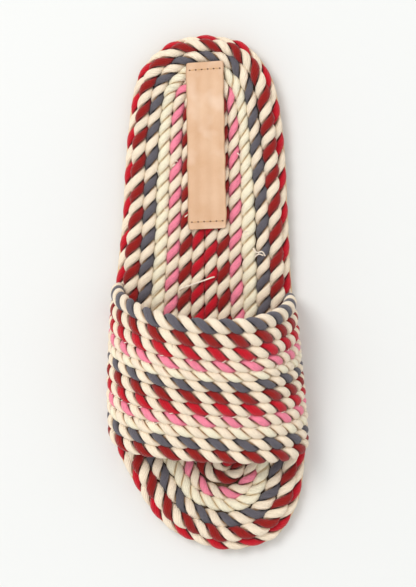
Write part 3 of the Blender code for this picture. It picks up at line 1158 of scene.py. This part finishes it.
@dataclass
class Band:
    """Twelve ropes side by side over the foot.

    Pairs are values at the front and at the rear edge, in millimetres. rows are each rope's colour
    and its share of the way from the front to the rear.
    """

    plan: SolePlan
    maker: RopeMaker
    outer_base: tuple = (192.0, 120.5)
    inner_base: tuple = (199.5, 125.5)
    crown: tuple = (206.6, 137.8)
    crown_height: tuple = (37.7, 64.3)
    crown_sideways: float = -7.0
    front_start: float = 0.9
    rear_start: float = 0.55
    roundness: float = 0.86
    bulge: float = 1.0 * MM
    base_inset: float = 1.7 * MM
    tuck: float = 1.6 * MM
    radius: float = 3.1 * MM
    lay: float = 13.5 * MM
    nest_share: float = 0.55
    narrowest: float = 0.7
    widest: float = 1.3
    skew: float = 1.0 * MM
    points: int = 260
    rows: tuple = (
        ("rust", 0.060),
        ("grey", 0.142),
        ("ivory", 0.224),
        ("pink", 0.305),
        ("red", 0.387),
        ("rust", 0.468),
        ("grey", 0.550),
        ("ivory", 0.619),
        ("pink", 0.688),
        ("red", 0.772),
        ("rust", 0.863),
        ("grey", 0.958),
    )

    def middle(self, edge: np.ndarray, u: float, t: np.ndarray) -> np.ndarray:
        """Points in the middle of the band's wall.

        Args:
            edge: Outline of the sole.
            u: Share of the way from the front edge to the rear edge.
            t: Shares of the way from the outer side over the foot to the inner side.

        Returns:
            One point for each share t.
        """
        plan = self.plan
        pairs = (self.outer_base, self.inner_base, self.crown, self.crown_height)
        outer_at, inner_at, crown_at, height = (front + (rear - front) * u for front, rear in pairs)
        outer_y, inner_y, crown_y = plan.along(outer_at), plan.along(inner_at), plan.along(crown_at)
        outer_x = plan.side_at(edge, outer_y, 1) - self.base_inset
        inner_x = plan.side_at(edge, inner_y, -1) + self.base_inset
        crown_x = plan.place(self.crown_sideways, 0.0)[0]
        cosine = np.cos(math.pi * t)
        rise = np.clip(np.sin(math.pi * t), 0, 1) ** self.roundness
        x = crown_x + (np.where(cosine > 0, outer_x, inner_x) - crown_x) * np.abs(cosine) ** self.roundness
        x = x + np.sign(cosine) * self.bulge * 4 * rise * (1 - rise) * (1 - rise)
        base_y = outer_y + (inner_y - outer_y) * np.clip((outer_x - x) / (outer_x - inner_x), 0, 1)
        front = rise * (1 + self.front_start) / (rise + self.front_start)
        rear = self.rear_start * rise + (1 - self.rear_start) * rise**2
        y = base_y + (crown_y - base_y) * (front + (rear - front) * max(u, 0.0) ** 0.7)
        y = y - self.skew * np.sin(2 * math.pi * t)
        base_z = plan.underside(y) + plan.band_base_level
        return np.column_stack([x, y, base_z + (height * MM - base_z) * rise])

    def row_path(self, edge: np.ndarray, row: int) -> RopePath:
        """Path of one rope of the band, its ends tucked down beside the edge rope.

        Args:
            edge: Outline of the sole.
            row: Number of the rope from the front.

        Returns:
            The path.
        """
        places = [place for _, place in self.rows]
        places = [2 * places[0] - places[1], *places, 2 * places[-1] - places[-2]]
        before, u, after = places[row : row + 3]
        t = np.linspace(0.0, 1.0, self.points)
        points = self.middle(edge, u, t)
        rear = (self.middle(edge, after, t) - self.middle(edge, before, t)) / 2
        ahead = unit(np.gradient(points, axis=0))
        across = rear - ahead * np.sum(rear * ahead, axis=1)[:, None]
        width = np.linalg.norm(across, axis=1)
        narrow = np.clip(self.nest_share * width / self.radius, self.narrowest, self.widest)
        ends = np.r_[0, np.arange(self.points), self.points - 1]
        points = points[ends]
        points[[0, -1], 2] -= self.tuck
        run = run_length(points)
        turns = (run - run[len(run) // 2]) / self.lay + row / 4
        return RopePath(points, unit(across)[ends], narrow[ends], turns)

    def build(self) -> None:
        """Make the ropes, one piece for each strand colour."""
        edge = self.plan.edge()
        paths = [self.row_path(edge, row) for row in range(len(self.rows))]
        for tint in dict.fromkeys(name for name, _ in self.rows):
            chosen = [path for path, (name, _) in zip(paths, self.rows) if name == tint]
            self.maker.lay("band_" + tint, chosen, self.radius, tint, ["upper"])
        self.maker.lay("band_partner", paths, self.radius, "cream", ["upper"], True)


def closed_mesh(name: str, points: Sequence, faces: Sequence, material: Material) -> Piece:
    """A closed mesh with its faces turned outwards.

    Args:
        name: Name of the piece.
        points: Corner places.
        faces: Corner numbers of each face.
        material: Its finish.

    Returns:
        The piece.
    """
    mesh = bpy.data.meshes.new(name)
    mesh.from_pydata([tuple(map(float, p)) for p in points], [], faces)
    work = bmesh.new()
    work.from_mesh(mesh)
    bmesh.ops.remove_doubles(work, verts=work.verts, dist=MM * MM)
    bmesh.ops.recalc_face_normals(work, faces=work.faces)
    for face in work.faces:
        face.smooth = True
    work.to_mesh(mesh)
    work.free()
    mesh.materials.append(material)
    return link_object(name, mesh)


def stacked_slab(name: str, loops: Sequence[np.ndarray], material: Material) -> Piece:
    """Closed slab through a stack of outlines, capped across from side to side.

    Args:
        name: Name of the piece.
        loops: Outlines from the bottom to the top, with heights, all of one even count.
        material: Its finish.

    Returns:
        The piece.
    """
    count = len(loops[0])
    faces = []
    for base in range(0, (len(loops) - 1) * count, count):
        for i in range(count):
            j = (i + 1) % count
            faces.append((base + i, base + j, base + count + j, base + count + i))
    for base in (0, (len(loops) - 1) * count):
        for i in range(count // 2):
            corners = dict.fromkeys((i, i + 1, count - i - 1, (count - i) % count))
            if len(corners) > 2:
                faces.append([base + k for k in corners])
    return closed_mesh(name, np.vstack(loops), faces, material)


@dataclass
class SoleStack:
    """Outsole sheet, heel block and core board.

    The rounds are a distance inside the edge in millimetres and a share of the thickness.
    """

    plan: SolePlan
    heel_length: float = 51.0
    heel_taper: float = 5.0 * MM
    heel_inset: float = 0.6 * MM
    heel_front_thickness: float = 0.6 * MM
    heel_gap: float = 0.06 * MM
    edge_round: tuple = ((0.55, 0.0), (0.16, 0.08), (0.0, 0.3), (0.0, 0.7), (0.16, 0.92), (0.55, 1.0))
    heel_round: tuple = (
        (0.5, 0.0),
        (0.15, 0.06),
        (0.0, 0.16),
        (0.0, 0.46),
        (0.12, 0.50),
        (0.0, 0.54),
        (0.0, 0.86),
        (0.12, 1.0),
    )
    edge_points: int = 400
    heel_points: int = 61
    heel_crowding: float = 2.2

    def outsole(self) -> None:
        """Thin sheet with softly rounded edges."""
        finish = SheetFinish("outsole_sheet", paint(233, 203, 163), paint(205, 168, 122), 900.0, 0.55)
        edge = self.plan.edge(self.edge_points)
        loops = []
        for inside, share in self.edge_round:
            loop = inset(edge, inside * MM)
            height = self.plan.underside(loop[:, 1]) + share * self.plan.outsole_thickness
            loops.append(np.column_stack([loop, height]))
        mount_piece(stacked_slab("outsole_sheet", loops, finish.material()), ["outsole"])

    def heel_outline(self, inside: float) -> np.ndarray:
        """Outline of the heel block: round behind, cut straight across in front.

        Args:
            inside: Distance inside the block's own edge.

        Returns:
            Points of an even count, paired from side to side.
        """
        edge = inset(self.plan.edge(2 * self.plan.points), self.heel_inset + inside)
        front = self.plan.along(self.heel_length) - inside
        edge = edge[edge[:, 1] < front]
        right = edge[:, 0] + self.plan.middle_from_axis >= 0
        halves = [half[np.argsort(half[:, 1])] for half in (edge[right], edge[~right])]
        back = min(half[0, 1] for half in halves)
        stations = back + (front - back) * np.linspace(0, 1, self.heel_points) ** self.heel_crowding
        outer, inner = (
            np.column_stack([np.interp(stations, half[:, 1], half[:, 0]), stations]) for half in halves
        )
        return np.vstack([0.5 * (outer[0] + inner[0]), outer, 0.5 * (outer[-1] + inner[-1]), inner[::-1]])

    def heel(self) -> None:
        """Two-layer heel block that thins out at its front."""
        finish = SheetFinish("heel_block", paint(188, 140, 96), paint(150, 102, 62), 1400.0, 0.45)
        front = self.plan.along(self.heel_length)
        loops = []
        for inside, share in self.heel_round:
            loop = self.heel_outline(inside * MM)
            top = self.plan.underside(loop[:, 1]) - self.heel_gap
            low = np.clip((loop[:, 1] - front + self.heel_taper) / self.heel_taper, 0, 1) ** 2
            bottom = low * (top - self.heel_front_thickness)
            loops.append(np.column_stack([loop, bottom + (top - bottom) * share]))
        mount_piece(stacked_slab("heel_block", loops, finish.material()), ["heel_lift"])

    def build(self, nodes: dict[str, Piece]) -> None:
        """Make the sole's pieces and give the core board's solid its own finish.

        Args:
            nodes: The frame's solids by name.
        """
        self.outsole()
        self.heel()
        materials = nodes["insole"].data.materials
        materials.clear()
        materials.append(CoreFinish().material())


class StitchTree(GrowTree):
    """Sets a short bowed stitch on every point."""

    SIDES = 6

    def __init__(self, material: Material, length: float, radius: float) -> None:
        """Build the tree for one stitch size.

        Args:
            material: Finish of the thread.
            length: Length of a stitch.
            radius: Half the thread's thickness.
        """
        super().__init__("set_stitches", {"Length": "Float", "Radius": "Float", "Finish": "Material"})
        self.values = {"Length": length, "Radius": radius, "Finish": material}
        sheet = self.sheet
        half, thick = self.size("Length") * 0.5, self.size("Radius")
        drop, rise = thick * -1.6, thick * 1.1
        inputs = {
            "Resolution": self.SIDES,
            "Start": sheet.joined(half * -1.0, 0.0, drop),
            "Start Handle": sheet.joined(half * -0.8, 0.0, rise),
            "End Handle": sheet.joined(half * 0.8, 0.0, rise),
            "End": sheet.joined(half, 0.0, drop),
        }
        bow = sheet.out("GeometryNodeCurvePrimitiveBezierSegment", {"mode": "POSITION"}, inputs)
        ring = sheet.out("GeometryNodeCurvePrimitiveCircle", None, {"Resolution": self.SIDES, "Radius": thick})
        inputs = {"Curve": bow, "Profile Curve": ring, "Fill Caps": True}
        stitch = self.smooth(sheet.out("GeometryNodeCurveToMesh", None, inputs))
        facing = {0: self.named("out", "FLOAT_VECTOR"), 1: self.named("along", "FLOAT_VECTOR")}
        turned = sheet.out("FunctionNodeAxesToRotation", None, facing)
        inputs = {"Points": self.given["Places"], "Instance": stitch, "Rotation": turned}
        self.finish(sheet.out("GeometryNodeInstanceOnPoints", None, inputs))

    def mount(self, name: str, places: Sequence, along: Sequence, out: Sequence, slot: Slot) -> None:
        """Set the stitches and mount them as one piece.

        Args:
            name: Name of the piece.
            places: Middle of each stitch.
            along: Direction of each stitch.
            out: Direction that each stitch faces.
            slot: The record's material slot; not used.
        """
        mesh = bpy.data.meshes.new(name)
        mesh.from_pydata([tuple(map(float, p)) for p in places], [], [])
        carry(mesh, "along", along)
        carry(mesh, "out", out)
        mount_piece(self.grow(name, link_object(name + "_places", mesh), self.values))


@dataclass
class HeelPatch:
    """Bare leather patch on the heel with a row of stitches at each end."""

    plan: SolePlan
    corners: tuple = ((8.4, 14.0), (-8.4, 12.8), (-10.0, 93.6), (7.3, 94.4))
    half_width: float = 8.4 * MM
    length: float = (93.6 - 12.8) * MM
    widen: float = 1.07
    thickness: float = 1.5 * MM
    lift: float = 0.50 * MM
    corner_radius: float = 1.0 * MM
    bevel: float = 0.35 * MM
    press: float = 0.16 * MM
    press_pitch: float = 5.6 * MM
    stitch_inset: float = 3.6 * MM
    stitch_pitch: float = 2.7 * MM
    edge_wander: float = 0.22 * MM
    columns: int = 18
    rows: int = 70
    bevel_segments: int = 3
    bevel_from_degrees: float = 50.0

    def spot(self, side: float, along: float) -> np.ndarray:
        """Plan point of the patch.

        Args:
            side: Share from the middle, -1 to 1.
            along: Share of the length, 0 at the heel.

        Returns:
            The point.
        """
        heel_outer, heel_inner, front_inner, front_outer = (np.array(c) for c in self.corners)
        share = (1 - side * self.widen) / 2
        heel = heel_outer + (heel_inner - heel_outer) * share
        front = front_outer + (front_inner - front_outer) * share
        return self.plan.place(*(heel + (front - heel) * along))

    def on_top(self, side: float, along: float, lift: float = 0.0) -> tuple[float, float, float]:
        """Point over the leather, which lets the ropes under it just show through.

        Args:
            side: Share from the middle, -1 to 1.
            along: Share of the length, 0 at the heel.
            lift: Height over the leather.

        Returns:
            The point.
        """
        x, y = self.spot(side, along)
        wave = math.cos(2 * math.pi * x / self.press_pitch) * self.press
        return self.plan.over_bed(x, y, self.lift + self.thickness + wave + lift)

    def side_of(self, column: int, along: float) -> float:
        """Place of one column of points, with rounded corners and a slightly wavering cut.

        Args:
            column: Number of the column.
            along: Share of the length.

        Returns:
            Share from the middle, -1 to 1.
        """
        radius = self.corner_radius
        depth = min(min(along, 1 - along) * self.length, radius)
        cut = radius - math.sqrt(radius**2 - (radius - depth) ** 2)
        phase = column // (self.columns // 2) * 2.0
        waver = self.edge_wander * (math.sin(along * 23.0) + math.sin(along * 57.0 + phase)) / self.half_width
        return (2 * column / self.columns - 1) * (1 - cut / self.half_width + 0.5 * waver)

    def leather(self) -> Piece:
        """The patch itself.

        Returns:
            The piece.
        """
        ends = np.linspace(0, 1, 7) ** 1.5 * self.corner_radius / self.length
        inner = np.linspace(ends[-1], 1 - ends[-1], self.rows)[1:-1]
        stations = np.concatenate([ends, inner, 1 - ends[::-1]])
        across, last = self.columns + 1, len(stations) - 1
        grid = [(i, k) for i in range(last + 1) for k in range(across)]
        top = [self.on_top(self.side_of(k, stations[i]), stations[i]) for i, k in grid]
        points = top + [(x, y, z - self.thickness) for x, y, z in top]
        layer = len(top)
        faces = []
        for i in range(last):
            for a in range(i * across, i * across + self.columns):
                faces.append((a, a + 1, a + across + 1, a + across))
                faces.append((layer + a, layer + a + across, layer + a + across + 1, layer + a + 1))
            for a in (i * across, i * across + self.columns):
                faces.append((a, a + across, layer + a + across, layer + a))
        for k in range(self.columns):
            for a in (k, last * across + k):
                faces.append((a, a + 1, layer + a + 1, layer + a))
        piece = closed_mesh("heel_patch", points, faces, LeatherFinish().material())
        # rim marks the edges for the darker rim, partly the cut edge's colour and partly painted shade.
        carry(piece.data, "rim", [k in (0, self.columns) or i in (0, last) for i, k in grid] * 2)
        bevel = piece.modifiers.new("edge", "BEVEL")
        bevel.width = self.bevel
        bevel.segments = self.bevel_segments
        bevel.limit_method = "ANGLE"
        bevel.angle_limit = math.radians(self.bevel_from_degrees)
        return frozen("heel_patch", piece)

    def row(self, finish: StrandFinish, size: tuple, name: str, steps: Sequence[float], lift: float) -> None:
        """One mark at each step across both ends of the patch.

        Args:
            finish: Finish of the marks.
            size: Length and radius of a mark.
            name: Name of the piece.
            steps: Places from the middle, in stitches.
            lift: Height over the leather.
        """
        share = self.stitch_inset / self.length
        wide = self.stitch_pitch / self.half_width
        places = [self.on_top(step * wide, end, lift) for end in (share, 1 - share) for step in steps]
        lean = 0.06 if finish.slot is Slot.THREAD else 0.0
        along = [(1.0, lean * step, 0.0) for step in steps] * 2
        StitchTree(finish.material(), *size).mount(name, places, along, [UP] * len(places), finish.slot)

    def build(self) -> None:
        """Make the patch, its stitches and, at their ends, dark marks that are painted shade for the needle holes."""
        mount_piece(self.leather(), ["heel_pad"])
        thread = StrandFinish("patch_thread", paint(204, 162, 112), paint(120, 80, 44), Slot.THREAD)
        self.row(thread, (1.75 * MM, 0.24 * MM), "patch_stitches", range(-2, 3), 0.04 * MM)
        # Painted shade: small dark-brown marks stand for the shade inside the needle holes.
        hole_shade = StrandFinish("needle_holes", paint(96, 62, 38), paint(50, 30, 18), Slot.LEATHER)
        halves = [k / 2 for k in range(-5, 6, 2)]
        self.row(hole_shade, (0.62 * MM, 0.34 * MM), "patch_holes", halves, -0.10 * MM)


@dataclass
class Sewing:
    """Stitches between the band's ropes and the loose thread ends that were left on the footbed.

    Places are millimetres off the heel axis and from the heel back.
    """

    plan: SolePlan
    band: Band
    thread_radius: float = 0.36 * MM
    thread_lift: float = 1.65 * MM
    thread_dip: float = 1.3 * MM
    loose_threads: tuple = (
        ((12.4, 123.7), (11.0, 122.7), (7.4, 121.4), (3.2, 119.9), (-0.8, 118.5), (-3.4, 117.5), (-4.6, 117.2)),
        ((-23.4, 103.4), (-25.4, 105.4), (-27.6, 105.0), (-29.2, 107.0)),
        ((-24.4, 107.4), (-26.2, 106.2), (-28.2, 106.8)),
    )
    bed_marks: tuple = (
        *((13.9, 61.0), (14.9, 63.2), (18.7, 84.9), (20.1, 83.1), (21.9, 79.2), (-14.7, 77.8), (-13.6, 79.6)),
        *((-16.4, 57.9), (8.9, 87.6), (11.8, 31.4), (23.1, 66.0), (-19.8, 95.2), (-21.0, 96.9)),
    )
    mark_lift: float = 0.45 * MM
    mark_size: tuple = (1.7 * MM, 0.26 * MM)
    stitch_size: tuple = (1.9 * MM, 0.20 * MM)
    sewn: tuple = ("ivory", "pink")
    spacing: float = 7.4 * MM
    spacing_stray: float = 0.22
    sewn_reach: tuple = (0.04, 0.96)
    sewn_points: int = 400
    height_share: float = 0.72
    seed: int = 11

    def tube(self, points: Sequence, name: str, material: Material) -> Piece:
        """A thin round thread through points, as a curve made into a mesh.

        Args:
            points: Places to pass.
            name: Name of the piece.
            material: Its finish.

        Returns:
            The piece.
        """
        line = bpy.data.curves.new(name, "CURVE")
        line.dimensions = "3D"
        line.bevel_depth = self.thread_radius
        line.bevel_resolution = 2
        line.resolution_u = 8
        line.use_fill_caps = True
        line.materials.append(material)
        spline = line.splines.new("BEZIER")
        spline.bezier_points.add(len(points) - 1)
        for knot, place in zip(spline.bezier_points, points):
            knot.co = place
            knot.handle_left_type = knot.handle_right_type = "AUTO"
        return frozen(name, link_object(name, line))

    def loose(self, material: Material) -> None:
        """Loose thread ends lying over the footbed, both ends dipped between the ropes.

        Args:
            material: Finish of the thread.
        """
        draw = np.random.default_rng(self.seed)
        for number, route in enumerate(self.loose_threads, 1):
            points = []
            for k, place in enumerate(route):
                at_end = k in (0, len(route) - 1)
                bob = -self.thread_dip if at_end else draw.uniform(-0.1, 0.25) * MM
                points.append(self.plan.over_bed(*self.plan.place(*place), self.thread_lift + bob))
            mount_piece(self.tube(points, f"loose_thread_{number}", material))

    def marks(self, material: Material) -> None:
        """Single stitches that show on the footbed where its ropes were sewn together.

        Args:
            material: Finish of the thread.
        """
        draw = np.random.default_rng(self.seed + 1)
        places = [self.plan.over_bed(*self.plan.place(*place), self.mark_lift) for place in self.bed_marks]
        turns = [draw.uniform(-0.9, 0.9) for _ in places]
        along = [(math.cos(turn), math.sin(turn), 0.0) for turn in turns]
        tree = StitchTree(material, *self.mark_size)
        tree.mount("footbed_stitches", places, along, [UP] * len(places), Slot.THREAD)

    def stitches(self, material: Material) -> None:
        """Small stitches that catch the sewn ropes of the band to the next ones.

        Args:
            material: Finish of the thread.
        """
        edge = self.plan.edge()
        draw = np.random.default_rng(self.seed)
        places, along, out = [], [], []
        for (tint, before), (_, after) in zip(self.band.rows, self.band.rows[1:]):
            if tint not in self.sewn:
                continue
            u = 0.5 * (before + after)
            t = np.linspace(*self.sewn_reach, self.sewn_points)
            line = self.band.middle(edge, u, t)
            ahead = unit(np.gradient(line, axis=0))
            rear = self.band.middle(edge, u + 0.01, t) - self.band.middle(edge, u - 0.01, t)
            normal = unit(np.cross(ahead, rear))
            normal *= np.sign(normal[len(normal) // 2, 2])
            run = run_length(line)
            marks = np.arange(draw.uniform(0.2, 1.0) * self.spacing, run[-1], self.spacing)
            marks = marks + draw.uniform(-self.spacing_stray, self.spacing_stray, len(marks)) * self.spacing
            for i in np.clip(np.searchsorted(run, marks), 1, len(run) - 2):
                places.append(line[i] + normal[i] * self.band.radius * self.height_share)
                along.append(ahead[i] + rear[i] / np.linalg.norm(rear[i]) * draw.uniform(0.2, 0.9))
                out.append(normal[i])
        StitchTree(material, *self.stitch_size).mount("band_stitches", places, along, out, Slot.THREAD)

    def build(self) -> None:
        """Make the threads and stitches."""
        finish = StrandFinish("sewing_thread", paint(240, 226, 208), paint(190, 160, 128), Slot.THREAD)
        material = finish.material()
        self.loose(material)
        self.marks(material)
        self.stitches(material)


@dataclass
class Studio:
    """Pale floor, soft light and the camera straight above."""

    camera_place: tuple = (-42.7 * MM, 0.1 * MM, 1.652)
    aim: tuple = (-0.4 * MM, 0.4 * MM, 0.0)
    toe_down: tuple = (0.0, -1.0, 0.0)
    metres_per_pixel: float = 0.488 * MM
    sensor: float = 36.0
    floor_half: float = 6.0
    key_place: tuple = (1.10, -0.95, 2.60)
    key_size: float = 1.2
    key_power: float = 38.0
    sky: float = 0.87

    def camera(self) -> None:
        """Camera at the photograph's place over the shoe, toe at the bottom of the picture."""
        lens = bpy.data.cameras.new("camera")
        made = link_object("camera", lens)
        eye, target = Vector(self.camera_place), Vector(self.aim)
        back = (eye - target).normalized()
        right = Vector(self.toe_down).cross(back).normalized()
        turn = Matrix((right, back.cross(right), back)).transposed().to_4x4()
        made.matrix_world = Matrix.Translation(eye) @ turn
        lens.sensor_width = self.sensor
        lens.lens = self.sensor * (eye - target).length / (IMAGE_HEIGHT * self.metres_per_pixel)
        lens.clip_start = 0.05
        lens.clip_end = 50.0
        bpy.context.scene.camera = made

    def floor(self) -> None:
        """Large pale floor."""
        half = self.floor_half
        mesh = bpy.data.meshes.new("floor")
        corners = [(-half, -half, 0.0), (half, -half, 0.0), (half, half, 0.0), (-half, half, 0.0)]
        mesh.from_pydata(corners, [], [(0, 1, 2, 3)])
        mesh.materials.append(FloorFinish().material())
        link_object("floor", mesh)

    def key_light(self) -> None:
        """One soft square light aimed at the shoe."""
        lamp = bpy.data.lights.new("key_light", "AREA")
        lamp.size = self.key_size
        lamp.energy = self.key_power
        made = link_object("key_light", lamp)
        made.location = self.key_place
        made.rotation_mode = "QUATERNION"
        made.rotation_quaternion = Vector(self.key_place).to_track_quat("Z", "Y")

    def world(self) -> None:
        """Even white surroundings, and the plain view transform that keeps the strands' colours."""
        world = bpy.data.worlds.new("studio")
        world.use_nodes = True
        sheet = NodeSheet(world.node_tree)
        back = sheet.out("ShaderNodeBackground", None, {"Color": (1.0, 1.0, 1.0, 1.0), "Strength": self.sky})
        sheet.node("ShaderNodeOutputWorld", None, {"Surface": back})
        bpy.context.scene.world = world
        bpy.context.scene.view_settings.view_transform = "Standard"

    def build(self) -> None:
        """Set the studio up."""
        self.floor()
        self.world()
        self.key_light()
        self.camera()


def main() -> None:
    """Build every piece of the sandal and the studio round it."""
    logging.basicConfig(level=logging.INFO, format="%(message)s")
    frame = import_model()
    plan = SolePlan()
    maker = RopeMaker(StrandShape())
    Footbed(plan, maker).build()
    band = Band(plan, maker)
    band.build()
    SoleStack(plan).build(frame["nodes"])
    HeelPatch(plan).build()
    Sewing(plan, band).build()
    Studio().build()


if __name__ == "__main__":
    main()
